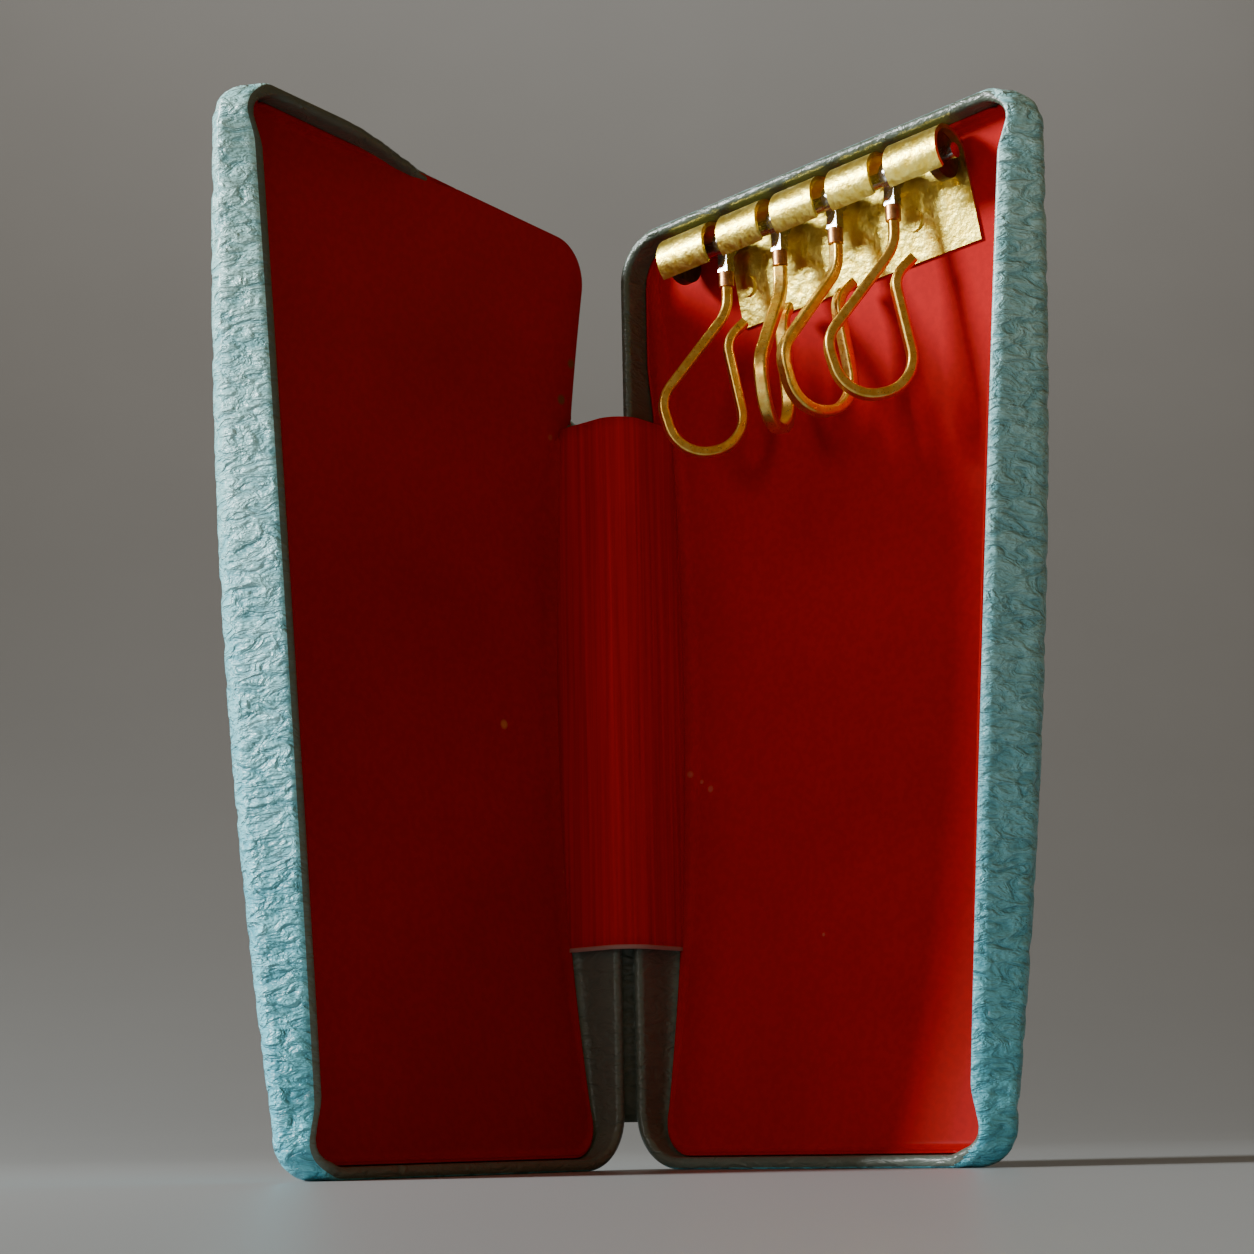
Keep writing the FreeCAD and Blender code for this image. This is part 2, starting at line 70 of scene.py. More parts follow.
# Small sizes of the dressed pieces, in millimetres, with their shares and seeds
CORNER_BLEND = 5.0
LEAST_RADIUS, LINING_FILLET = 0.3, 0.9
SEAM, HAIR, LEAST_ROLL = 0.1, 0.02, 0.12
SKIN_BEHIND_LINING, BARED_STEP = 0.12, 0.34
FLOOR_START, FLOOR_RUN = 11.0, 1.0
RAGGED, RAGGED_WAVES, RAGGED_SEED = 0.5, (1.7, 2.9, 4.3), 3
BREAK_FADE = (-0.6, 1.4)
CREASE_DEPTH, CREASE_RISE = 0.26, 0.02
CREASE_START, CREASE_END = (0.9, 2.2), (8.0, 4.0)
CREASE_WAVES, CREASE_SLANT, CREASE_SEED = (1.9, 3.1, 4.7, 7.3), 0.5, 11
CROSS_WAVES, CROSS_SLANT, CROSS_SEED, CROSS_SHARE = (2.6, 4.1), 0.8, 17, 0.5
LINING_DROP, LINING_GAP, LINING_SHEET = 0.3, 0.05, 0.25
LINING_UNDER_STRIP, STRIP_OVERLAP = 4.0, (0.5, 4.0)
LINING_CLIMB, CLIMB_HEIGHTS = 0.9, (80.0, 88.0)
STRIP_LEG, STRIP_CROWN, STRIP_SHEET, STRIP_CUT = 2.69, 2.4, 0.35, (0.5, 0.3)
FOLD_RADIUS, FOLD_FOOT, FOLD_SHEET = 1.73, 4.8, 0.33
FOLD_LEG, FOLD_GAP = (2.1, 1.8), 0.02
STRIP_BEND, FOLD_BEND, SPRING_BEND = 3.0, 1.5, 1.9
HALF_CORNER_SHARE = 0.29

LEFT, RIGHT = -1, 1
POINTS_ACROSS, POINTS_ALONG, BAND_ROWS = 84, 168, 40
ARC_POINTS, ARCH_POINTS, STRIP_LEG_POINTS, FOLD_LEG_POINTS = 17, 25, 9, 4
EDGE_STEPS, CORNER_STEPS, WALL_STEPS = 13, 9, 7
DEEPEST_INSET, INSET_LEVELS = 12.0, 49
LAST_LEVEL = INSET_LEVELS - 1.001
# Rings past the rim's start where the painted shade of the turned-in inside begins, at the foot, free edge,
# top and spine: sooner on the left cover's free edge, whose rim lies in shade, than on the right, whose rim
# is lit
SHADE_RINGS = {LEFT: (3, 3, 3, -3), RIGHT: (3, 9, 3, -3)}


# Covers: points as u from the hinge, v behind the rims, z up
def to_row(points, side):
    """Points of a cover's frame as the case stands, in metres."""
    u, v, z = np.moveaxis(np.asarray(points, float), -1, 0)
    x = side * (u * math.sin(HALF_ANGLE) + v * math.cos(HALF_ANGLE))
    y = HINGE_Y - u * math.cos(HALF_ANGLE) + v * math.sin(HALF_ANGLE)
    return np.stack([x, y, z], -1) * MM


def width_at(z):
    """Rim width of a cover at a height."""
    return FOOT_WIDTH + (TOP_WIDTH - FOOT_WIDTH) * z / CASE_HEIGHT


def top_at(u):
    """Height of a cover's top edge at a distance from the hinge."""
    return CASE_HEIGHT - TOP_RISE * (1 - u / TOP_WIDTH)


def depth_at(z):
    """Outer depth of a cover at a height."""
    share = (z - CASE_HEIGHT / 2) / (CASE_HEIGHT / 2)
    return MIDDLE_DEPTH - (MIDDLE_DEPTH - END_DEPTH) * share ** 2


def smooth(low, high, value):
    """A soft step from 0 at low to 1 at high."""
    share = np.clip((value - low) / (high - low), 0, 1)
    return share * share * (3 - 2 * share)


def resample(points, count):
    """Points at even steps along a run, without its last one."""
    steps = np.concatenate([[0], np.cumsum(np.linalg.norm(np.diff(points, axis=0), axis=1))])
    wanted = np.linspace(0, steps[-1], count + 1)[:-1]
    return np.stack([np.interp(wanted, steps, points[:, axis]) for axis in range(points.shape[1])], -1)


def corner_arc(point, before, after, radius):
    """Points of a rounded corner, from the run before it to the run after it."""
    back = (before - point) / np.linalg.norm(before - point)
    ahead = (after - point) / np.linalg.norm(after - point)
    half = math.acos(np.clip(back @ ahead, -1, 1)) / 2
    centre = point + (back + ahead) / np.linalg.norm(back + ahead) * radius / math.sin(half)
    start = point + back * radius / math.tan(half) - centre
    end = point + ahead * radius / math.tan(half) - centre
    turn = math.pi - 2 * half
    shares = np.linspace(0, 1, ARC_POINTS)
    weights = [np.sin((1 - shares) * turn) / math.sin(turn), np.sin(shares * turn) / math.sin(turn)]
    return centre + weights[0][:, None] * start + weights[1][:, None] * end


def outline(inset):
    """A cover's rounded outline moved in by an inset: foot, free edge, top, spine."""
    spine = SPINE_SETBACK + inset
    foot_free = width_at(inset) + FREE_BULGE - inset
    top_free = width_at(CASE_HEIGHT - inset) + FREE_BULGE - inset
    corners = np.array([[spine, inset], [foot_free, inset], [top_free, top_at(top_free) - inset],
                        [spine, top_at(spine) - inset]])
    full_radii = (SPINE_CORNER, FREE_CORNER, FREE_CORNER, SPINE_CORNER)
    radii = [max(radius - inset, LEAST_RADIUS) for radius in full_radii]
    arcs = [corner_arc(corners[i], corners[i - 1], corners[(i + 1) % 4], radii[i]) for i in range(4)]
    middle = len(arcs[0]) // 2
    runs = []
    for i, count in enumerate((POINTS_ACROSS, POINTS_ALONG) * 2):
        run = np.concatenate([arcs[i][middle:], arcs[(i + 1) % 4][:middle + 1]])
        runs.append(resample(run, count))
    return np.concatenate(runs)


INSETS = np.linspace(0, DEEPEST_INSET, INSET_LEVELS)
LOOPS = np.stack([outline(inset) for inset in INSETS])
LOOP_POINTS = LOOPS.shape[1]


def inset_points(inset):
    """Points of the outline, each moved in by its own inset, as u and z."""
    place = np.clip(np.broadcast_to(inset, LOOP_POINTS) / INSETS[1], 0, LAST_LEVEL)
    level = place.astype(int)
    share = (place - level)[:, None]
    index = np.arange(LOOP_POINTS)
    return LOOPS[level, index] * (1 - share) + LOOPS[level + 1, index] * share


def side_weights():
    """How much each outline point belongs to each side, blended round the corners."""
    edge = LOOPS[0]
    u, z = edge[:, 0], edge[:, 1]
    away = (z, width_at(z) + FREE_BULGE - u, top_at(u) - z, u - SPINE_SETBACK)
    weights = np.stack([1 - smooth(0, CORNER_BLEND, distance) for distance in away], -1)
    return weights / weights.sum(-1, keepdims=True)


WEIGHTS = side_weights()
EDGE_Z = LOOPS[0][:, 1]
EDGE_U = LOOPS[0][:, 0]


def by_side(foot, free, top, spine):
    """Values of the four sides, blended round the outline."""
    sides = [np.broadcast_to(value, LOOP_POINTS) for value in (foot, free, top, spine)]
    return (np.stack(sides, -1) * WEIGHTS).sum(-1)


def edge_radius(less, least=LEAST_RADIUS):
    """Radius of the back edge round the outline, made smaller by an inset."""
    depth = depth_at(EDGE_Z)
    radii = [END_EDGE, CURL_SHARE * depth, END_EDGE, BACK_EDGE_SHARE * depth]
    return by_side(*[np.maximum(radius - less, least) for radius in radii])


def ring(inset, depth=None, drop=0):
    """One loop of points round a cover, at a depth or at a distance in front of the back."""
    points = inset_points(inset)
    if depth is None:
        depth = depth_at(points[:, 1]) - drop
    return np.stack([points[:, 0], np.broadcast_to(depth, LOOP_POINTS), points[:, 1]], -1)


def lean(depth):
    """How far the free edge leans in from its widest line, at a depth."""
    share = depth / ((1 - CURL_SHARE) * depth_at(EDGE_Z))
    return WEIGHTS[:, 1] * FREE_BULGE * np.clip(1 - share, 0, 1)


def fill_grid(loop):
    """A grid of points spanned inside a loop, with the loop as its border."""
    across, along = POINTS_ACROSS, POINTS_ALONG
    foot = loop[:across + 1]
    free = loop[across:across + along + 1]
    top = loop[across + along:2 * across + along + 1][::-1]
    spine = np.concatenate([loop[2 * across + along:], loop[:1]])[::-1]
    s = np.linspace(0, 1, across + 1)[None, :, None]
    t = np.linspace(0, 1, along + 1)[:, None, None]
    flat = (1 - t) * foot[None] + t * top[None] + (1 - s) * spine[:, None] + s * free[:, None]
    corners = (1 - s) * (1 - t) * foot[0] + s * (1 - t) * foot[-1]
    corners = corners + (1 - s) * t * top[0] + s * t * top[-1]
    return flat - corners


def grid_border():
    """Row and column of each loop point in the filled grid."""
    across, along = POINTS_ACROSS, POINTS_ALONG
    cells = [(0, i) for i in range(across)] + [(i, across) for i in range(along)]
    cells += [(along, across - i) for i in range(across)] + [(along - i, 0) for i in range(along)]
    return np.array(cells)


def add_object(name, vertices, faces):
    """A new mesh object with soft shading."""
    mesh = bpy.data.meshes.new(name)
    mesh.from_pydata([tuple(point) for point in vertices], [], [tuple(face) for face in faces])
    mesh.validate()
    mesh.shade_smooth()
    thing = bpy.data.objects.new(name, mesh)
    bpy.context.scene.collection.objects.link(thing)
    return thing


def cap(vertices, faces, first, depth_of, flip):
    """Close a ring of vertices with a filled grid."""
    loop = np.array(vertices[first:first + LOOP_POINTS])
    grid = fill_grid(loop)
    rows, columns = grid.shape[:2]
    numbers = np.full((rows, columns), -1)
    border = grid_border()
    numbers[border[:, 0], border[:, 1]] = first + np.arange(LOOP_POINTS)
    for row in range(rows):
        for column in range(columns):
            if numbers[row, column] < 0:
                u, _, z = grid[row, column]
                numbers[row, column] = len(vertices)
                vertices.append((u, depth_of(u, z), z))
    for row in range(rows - 1):
        for column in range(columns - 1):
            face = [numbers[row, column], numbers[row, column + 1],
                    numbers[row + 1, column + 1], numbers[row + 1, column]]
            faces.append(face[::-1] if flip else face)


def join_rings(rings):
    """Vertices and faces of loops joined one to the next."""
    vertices = [tuple(point) for loop in rings for point in loop]
    faces = []
    for number in range(len(rings) - 1):
        here, there = number * LOOP_POINTS, (number + 1) * LOOP_POINTS
        for index in range(LOOP_POINTS):
            follow = (index + 1) % LOOP_POINTS
            faces.append((here + index, here + follow, there + follow, there + index))
    return vertices, faces


def ripple(place, seed, waves):
    """A repeatable uneven wave of a length, between about -1 and 1."""
    random = np.random.default_rng(seed)
    total = np.zeros_like(place)
    for wave in waves:
        total += np.sin(place * 2 * math.pi / wave + random.uniform(0, 2 * math.pi))
    return total / len(waves)


def rim_depth(side):
    """Height of the rim round the outline: level, except where the left cover is broken."""
    level = np.full(LOOP_POINTS, RIM)
    if side == RIGHT:
        return level
    floor = depth_at(EDGE_Z) - WALL + LINING
    ragged = RAGGED * ripple(EDGE_U + EDGE_Z, RAGGED_SEED, RAGGED_WAVES)
    fade_low, fade_high = [BREAK_HEIGHT + fade for fade in BREAK_FADE]
    spine = WEIGHTS[:, 3] * smooth(fade_low, fade_high, EDGE_Z + ragged)
    top = WEIGHTS[:, 2] * smooth(BREAK_REACH, BREAK_START, EDGE_U + ragged)
    return level + (floor - level) * np.clip(spine + top, 0, 1)


def cover_skin(side, name):
    """A cover's leatherette with what it covers: back, sides, rolled rim and turned-in walls."""
    depth = depth_at(EDGE_Z)
    radius = edge_radius(0)
    rim = rim_depth(side)
    rings = [ring(FLOOR_START), ring((FLOOR_START + radius) / 2)]
    for angle in np.radians(np.linspace(0, 90, EDGE_STEPS)):
        loop = ring(radius * (1 - np.sin(angle)), drop=radius * (1 - np.cos(angle)))
        loop[:, 1] = np.maximum(loop[:, 1], rim + SEAM)
        rings.append(loop)
    face = WALL - SEAM
    roll = face / 2
    wall_top = np.maximum(depth - radius, rim + SEAM)
    roll_foot = np.minimum(rim + roll, wall_top)
    for share in (0.2, 0.4, 0.6, 0.8):
        level = wall_top + (roll_foot - wall_top) * share
        rings.append(ring(lean(level), level))
    bared = (rim - RIM) / (depth - WALL + LINING - RIM)
    sink = WALL - SKIN_BEHIND_LINING - BARED_STEP * bared
    floor = depth_at(inset_points(face)[:, 1]) - sink
    height = np.minimum(roll, np.maximum(floor - HAIR - rim, LEAST_ROLL))
    # Faces from this ring on, and the inner floor below the lining, get painted shade: the darkened
    # leatherette
    shade_start = len(rings) + by_side(*SHADE_RINGS[side])
    for angle in np.radians(np.linspace(0, 180, EDGE_STEPS)):
        level = rim + height * (1 - np.sin(angle))
        rings.append(ring(roll * (1 - np.cos(angle)) + lean(level), level))
    inner = edge_radius(face)
    last = rings[-1][:, 1]
    wall_foot = np.maximum(floor - inner, last)
    bend = floor - wall_foot
    for share in (0.33, 0.67, 1.0):
        level = last + (wall_foot - last) * share
        rings.append(ring(face + lean(level), level))
    for angle in np.radians(np.linspace(0, 90, CORNER_STEPS)[1:]):
        rings.append(ring(face + bend * (1 - np.cos(angle)), drop=sink + bend * (1 - np.sin(angle))))
    rings.append(ring(face + bend + FLOOR_RUN, drop=sink))
    vertices, faces = join_rings(rings)
    inside = [number >= shade_start[index] for number in range(len(rings) - 1) for index in range(LOOP_POINTS)]
    cap(vertices, faces, 0, lambda u, z: depth_at(z), flip=True)
    inside += [False] * (len(faces) - len(inside))
    last_ring = (len(rings) - 1) * LOOP_POINTS
    cap(vertices, faces, last_ring, lambda u, z: depth_at(z) - WALL + SKIN_BEHIND_LINING, flip=False)
    inside += [True] * (len(faces) - len(inside))
    points = crease(np.array(vertices), side)
    if side == RIGHT:
        faces = [face[::-1] for face in faces]
    skin = add_object(name, to_row(points, side), faces)
    skin.data.materials.append(skin_look)
    skin.data.materials.append(shade_look)
    skin.data.polygons.foreach_set("material_index", np.array(inside, dtype=np.int32))
    return skin


def crease(points, side):
    """Transverse creases of the leatherette over the free edge."""
    u, v, z = points.T
    outer = smooth(*CREASE_START, v) * smooth(*CREASE_END, width_at(z) + FREE_BULGE - u)
    wave = ripple(z + CREASE_SLANT * v, CREASE_SEED + side, CREASE_WAVES)
    wave += CROSS_SHARE * ripple(z - CROSS_SLANT * v, CROSS_SEED + side, CROSS_WAVES)
    moved = points.copy()
    moved[:, 0] -= np.maximum(CREASE_DEPTH * wave, -CREASE_RISE) * outer
    return moved


def lining_edge():
    """Depth of the lining's edge: at the rim along the free edge, on the wall by the spine."""
    floor = depth_at(EDGE_Z) - WALL
    low = floor - HALF_CORNER_SHARE * (BACK_EDGE_SHARE * depth_at(EDGE_Z) - WALL)
    overlap_low, overlap_high = [STRIP_LOW + overlap for overlap in STRIP_OVERLAP]
    under_strip = smooth(overlap_low, overlap_high, EDGE_Z)
    raised = low + (LINING_UNDER_STRIP - low) * under_strip
    by_spine = np.where(EDGE_Z < CASE_HEIGHT / 2, raised, LINING_UNDER_STRIP)
    by_spine -= LINING_CLIMB * smooth(*CLIMB_HEIGHTS, EDGE_Z)
    at_end = floor - LINING_FILLET
    return np.minimum(by_side(at_end, RIM + LINING_DROP, at_end, by_spine), floor)


def cover_lining(side, name):
    """A cover's lining: the floor, its rounded corner by the spine and the rolled free edge up to the rim."""
    floor = depth_at(EDGE_Z) - WALL
    bared = (rim_depth(side) - RIM) / (floor + LINING - RIM)
    edge = WALL + LINING_GAP - bared * FLOOR_RUN
    radius = edge_radius(WALL, LINING_FILLET) * (1 - bared) + SEAM
    climb = (floor - lining_edge()) * (1 - bared)
    turn = np.arccos(1 - np.clip(climb / radius, 0, 1))
    rise = np.maximum(climb - radius, 0)
    corner = edge + radius
    rings = []
    for share in (0, 0.5, 0.9, 0.98, 1):
        rings.append(ring(FLOOR_START + (corner - FLOOR_START) * share, drop=WALL))
    for share in np.linspace(0, 1, EDGE_STEPS)[1:]:
        angle = turn * share
        inset = edge + radius * (1 - np.sin(angle))
        rings.append(ring(inset, drop=WALL + radius * (1 - np.cos(angle))))
    foot = rings[-1][:, 1]
    last_inset = edge + radius * (1 - np.sin(turn))
    for share in np.linspace(0, 1, WALL_STEPS)[1:]:
        level = foot - rise * share
        rings.append(ring(last_inset + lean(level) * np.clip(rise, 0, 1), level))
    vertices, faces = join_rings(rings)
    cap(vertices, faces, 0, lambda u, z: depth_at(z) - WALL, flip=True)
    if side == RIGHT:
        faces = [face[::-1] for face in faces]
    lining = add_object(name, to_row(np.array(vertices), side), faces)
    thick = lining.modifiers.new("thickness", "SOLIDIFY")
    thick.thickness = LINING_SHEET * MM
    thick.offset = 1.0
    return lining


# Spine: strips laid across the front and back of the hinge
def band(name, path_at, low, high, thickness):
    """A strip that follows a path seen from above at each height, in millimetres from the hinge."""
    heights = np.linspace(low, high, BAND_ROWS)
    paths = [path_at(z) for z in heights]
    count = len(paths[0])
    vertices = [(x * MM, (HINGE_Y + y) * MM, z * MM) for z, path in zip(heights, paths) for x, y in path]
    faces = [(row * count + i, row * count + i + 1, (row + 1) * count + i + 1, (row + 1) * count + i)
             for row in range(BAND_ROWS - 1) for i in range(count - 1)]
    strip = add_object(name, vertices, faces)
    thick = strip.modifiers.new("thickness", "SOLIDIFY")
    thick.thickness = thickness * MM
    thick.offset = -1.0
    bpy.context.view_layer.objects.active = strip
    with bpy.context.temp_override(object=strip):
        bpy.ops.object.modifier_apply(modifier=thick.name)
    return strip


def in_row(u, v):
    """A point of the right cover seen from above, from the hinge."""
    x = u * math.sin(HALF_ANGLE) + v * math.cos(HALF_ANGLE)
    y = v * math.sin(HALF_ANGLE) - u * math.cos(HALF_ANGLE)
    return x, y


def strip_path(z):
    """The red strip from one lining over the front of the hinge to the other."""
    depth = depth_at(z)
    radius = BACK_EDGE_SHARE * depth - WALL
    aside = SPINE_SETBACK + WALL + radius - STRIP_LEG
    landing = depth - WALL - radius + math.sqrt(max(radius ** 2 - aside ** 2, 0)) - SEAM
    start = in_row(STRIP_LEG, RIM)
    rise = STRIP_CROWN + start[1]
    bend = (start[0] ** 2 + rise ** 2) / (2 * rise)
    half = math.asin(start[0] / bend)
    arch = [(bend * math.sin(angle), bend - STRIP_CROWN - bend * math.cos(angle))
            for angle in np.linspace(-half, half, ARCH_POINTS)]
    leg = [in_row(STRIP_LEG, reach) for reach in np.linspace(landing, RIM, STRIP_LEG_POINTS)[:-1]]
    return [(-x, y) for x, y in leg] + arch + leg[::-1]


def fold_path(z):
    """The spine skin from wall to wall round the back of the hinge, the same at every height."""
    turns = np.linspace(HALF_ANGLE, math.pi - HALF_ANGLE, ARC_POINTS)
    arc = [(FOLD_RADIUS * math.cos(angle), FOLD_RADIUS * math.sin(angle)) for angle in turns]
    leg = [in_row(FOLD_GAP, reach) for reach in np.linspace(*FOLD_LEG, FOLD_LEG_POINTS)]
    return leg + arc + [(-x, y) for x, y in leg[::-1]]


# Materials
class Shader:
    """A procedural material, with short calls for its nodes."""

    def __init__(self, name):
        self.material = bpy.data.materials.new(name)
        self.material.use_nodes = True
        self.tree = self.material.node_tree
        self.surface = self.tree.nodes["Principled BSDF"]
        self.place = self.tree.nodes.new("ShaderNodeTexCoord").outputs["Object"]

    def set(self, **values):
        for name, value in values.items():
            self.surface.inputs[name.replace("_", " ")].default_value = value

    def feed(self, socket, value):
        if isinstance(value, bpy.types.NodeSocket):
            self.tree.links.new(value, socket)
        else:
            socket.default_value = value

    def scaled(self, scale):
        node = self.tree.nodes.new("ShaderNodeMapping")
        node.inputs["Scale"].default_value = scale
        self.tree.links.new(self.place, node.inputs["Vector"])
        return node.outputs["Vector"]

    def noise(self, size, detail=3.0, stretch=(1, 1, 1), roughness=0.5, twist=0.0):
        node = self.tree.nodes.new("ShaderNodeTexNoise")
        self.feed(node.inputs["Vector"], self.scaled([1 / (size * MM * share) for share in stretch]))
        node.inputs["Scale"].default_value = 1.0
        node.inputs["Detail"].default_value = detail
        node.inputs["Roughness"].default_value = roughness
        node.inputs["Distortion"].default_value = twist
        return node.outputs["Fac"]

    def height(self, low, high):
        node = self.tree.nodes.new("ShaderNodeSeparateXYZ")
        self.tree.links.new(self.place, node.inputs["Vector"])
        return self.range(node.outputs["Z"], low * MM, high * MM, 0, 1)

    def spot(self, centre, radius):
        node = self.tree.nodes.new("ShaderNodeVectorMath")
        node.operation = "DISTANCE"
        self.tree.links.new(self.place, node.inputs[0])
        node.inputs[1].default_value = centre
        return self.range(node.outputs["Value"], 0.5 * radius * MM, radius * MM, 1, 0)

    def ramp(self, value, stops):
        node = self.tree.nodes.new("ShaderNodeValToRGB")
        while len(node.color_ramp.elements) < len(stops):
            node.color_ramp.elements.new(0.5)
        for element, (place, colour) in zip(node.color_ramp.elements, stops):
            element.position = place
            element.color = (*colour, 1) if len(colour) == 3 else colour
        self.tree.links.new(value, node.inputs["Fac"])
        return node.outputs["Color"]

    def range(self, value, low, high, to_low, to_high):
        node = self.tree.nodes.new("ShaderNodeMapRange")
        self.tree.links.new(value, node.inputs["Value"])
        for name, number in (("From Min", low), ("From Max", high), ("To Min", to_low), ("To Max", to_high)):
            node.inputs[name].default_value = number
        return node.outputs["Result"]

    def add(self, first, second, share=1.0):
        node = self.tree.nodes.new("ShaderNodeMath")
        node.operation = "MULTIPLY_ADD"
        self.feed(node.inputs[0], second)
        node.inputs[1].default_value = share
        self.feed(node.inputs[2], first)
        return node.outputs["Value"]

    def mix(self, share, first, second, kind="MIX"):
        node = self.tree.nodes.new("ShaderNodeMix")
        node.data_type = "RGBA"
        node.blend_type = kind
        self.feed(node.inputs["Factor"], share)
        self.feed(node.inputs[6], first if isinstance(first, bpy.types.NodeSocket) else (*first, 1))
        self.feed(node.inputs[7], second if isinstance(second, bpy.types.NodeSocket) else (*second, 1))
        return node.outputs[2]

    def bump(self, height, strength, distance):
        node = self.tree.nodes.new("ShaderNodeBump")
        node.inputs["Strength"].default_value = strength
        node.inputs["Distance"].default_value = distance * MM
        self.tree.links.new(height, node.inputs["Height"])
        self.tree.links.new(node.outputs["Normal"], self.surface.inputs["Normal"])

    def colour(self, socket):
        self.tree.links.new(socket, self.surface.inputs["Base Color"])

    def rough(self, socket):
        self.tree.links.new(socket, self.surface.inputs["Roughness"])


# The part of a noise's range that most of its values fall in
MID_NOISE = (0.3, 0.7)


def leatherette(name, low, high, wrinkles):
    """Crinkled leatherette, from one tone at the foot to another at the top: partly its own colour and partly
    painted light, with painted shade in the creases and painted highlights on the ridges.
    """
    shader = Shader(name)
    tone = shader.noise(size=14, detail=4)
    crinkle = shader.noise(size=1.2, detail=3, stretch=(2.2, 2.2, 1), twist=1.3)
    grain = shader.noise(size=0.4, detail=2, stretch=(2, 2, 1))
    # Tone changing with height: partly the leatherette's own colour and partly painted light, lighter towards
    # the top on the outer skin
    rise = shader.add(shader.height(0, CASE_HEIGHT), tone, share=0.3)
    body = shader.ramp(rise, [(0.15, low), (1.0, high)])
    # Crinkle tints: darker than the body in the creases as painted shade, lighter than it on the ridges as
    # painted highlight
    tones = [(0.36, (0.66, 0.78, 0.82)), (0.48, (1.0, 1.0, 1.0)), (0.6, (1.3, 1.16, 1.14))]
    crease_tints = [(place, [1 - wrinkles * (1 - value) for value in tint]) for place, tint in tones]
    crease_shade_and_highlight = shader.ramp(crinkle, crease_tints)
    shader.colour(shader.mix(1.0, body, crease_shade_and_highlight, "MULTIPLY"))
    shader.rough(shader.range(crinkle, *MID_NOISE, 0.42, 0.26))
    shader.bump(shader.add(crinkle, grain, share=0.25), strength=1.0, distance=1.1 * wrinkles)
    shader.set(Specular_IOR_Level=0.5, Coat_Weight=0.4 * wrinkles, Coat_Roughness=0.22)
    return shader.material


# Marks on the linings: cover, distance from the hinge, height, radius and tone
TAN, ROSE, BROWN = (0.62, 0.2, 0.06), (0.5, 0.07, 0.05), (0.24, 0.06, 0.02)
LINING_MARKS = (
    (LEFT, 10.1, 46.1, 0.6, TAN),
    (RIGHT, 3.0, 41.2, 0.5, ROSE), (RIGHT, 4.4, 40.3, 0.35, ROSE), (RIGHT, 5.6, 39.4, 0.5, ROSE),
    (LEFT, 2.6, 30.9, 0.3, ROSE), (RIGHT, 20.7, 22.9, 0.3, ROSE),
    (LEFT, 3.9, 78.5, 0.5, ROSE), (LEFT, 2.6, 83.0, 0.7, BROWN), (LEFT, 1.5, 87.2, 0.7, BROWN),
)


def on_lining(side, u, z):
    """A point of a lining, in metres."""
    depth = depth_at(z) - WALL
    radius = BACK_EDGE_SHARE * depth_at(z) - WALL
    if side == LEFT and z > BREAK_HEIGHT:
        radius = LINING
    aside = np.clip(SPINE_SETBACK + WALL + radius - u, 0, radius)
    return to_row((u, depth - radius + math.sqrt(radius ** 2 - aside ** 2) - LINING / 2, z), side)


def crimson():
    """Smooth crimson lining with faint clouds and rubbed spots."""
    shader = Shader("crimson_lining")
    cloud = shader.noise(size=22, detail=3)
    speck = shader.noise(size=0.7, detail=2)
    body = shader.ramp(cloud, [(0.3, (0.43, 0.0, 0.0)), (0.7, (0.52, 0.0, 0.0))])
    rubbed = shader.ramp(speck, [(0.4, (0.94, 0.94, 0.94)), (0.6, (1.04, 1, 1))])
    body = shader.mix(1.0, body, rubbed, "MULTIPLY")
    for side, u, z, radius, tone in LINING_MARKS:
        body = shader.mix(shader.spot(on_lining(side, u, z), radius), body, tone)
    shader.colour(body)
    shader.rough(shader.range(cloud, *MID_NOISE, 0.55, 0.45))
    shader.bump(speck, strength=0.15, distance=0.03)
    shader.set(Specular_IOR_Level=0.08)
    return shader.material


def strip_red():
    """Ribbed crimson cloth of the spine strip."""
    shader = Shader("strip_red")
    streak = shader.noise(size=0.5, detail=3, stretch=(1, 1, 60))
    body = shader.ramp(streak, [(0.3, (0.5, 0.0, 0.0)), (0.7, (0.74, 0.002, 0.003))])
    cut = shader.height(*[STRIP_LOW + edge for edge in STRIP_CUT])
    shader.colour(shader.mix(cut, body, (0.55, 0.3, 0.26)))
    shader.rough(shader.range(streak, *MID_NOISE, 0.6, 0.45))
    shader.bump(streak, strength=0.5, distance=0.06)
    shader.set(Specular_IOR_Level=0.1)
    return shader.material


def metal(name, dark, light, roughness, dent, dent_size, dent_depth):
    """A metal with wear: uneven tone and small dents."""
    shader = Shader(name)
    tone = shader.noise(size=dent_size, detail=4)
    fine = shader.noise(size=0.25, detail=2)
    shader.colour(shader.ramp(tone, [(0.35, dark), (0.65, light)]))
    shader.rough(shader.range(fine, *MID_NOISE, roughness - 0.06, roughness + 0.08))
    shader.bump(tone, strength=dent, distance=dent_depth)
    shader.set(Metallic=1.0)
    return shader.material


def board():
    """Pressed board of the shells."""
    shader = Shader("shell_board")
    tone = shader.noise(size=1.2, detail=4)
    shader.colour(shader.ramp(tone, [(0.3, (0.12, 0.1, 0.07)), (0.7, (0.2, 0.17, 0.12))]))
    shader.rough(shader.range(shader.noise(size=0.6), *MID_NOISE, 0.75, 0.9))
    return shader.material


def paint(thing, material):
    """Give an object one material."""
    thing.data.materials.clear()
    thing.data.materials.append(material)


# Tones at the foot and the top: the lighter top is partly painted light
skin_look = leatherette("leatherette", (0.12, 0.6, 0.76), (0.4, 0.79, 0.78), wrinkles=1.0)
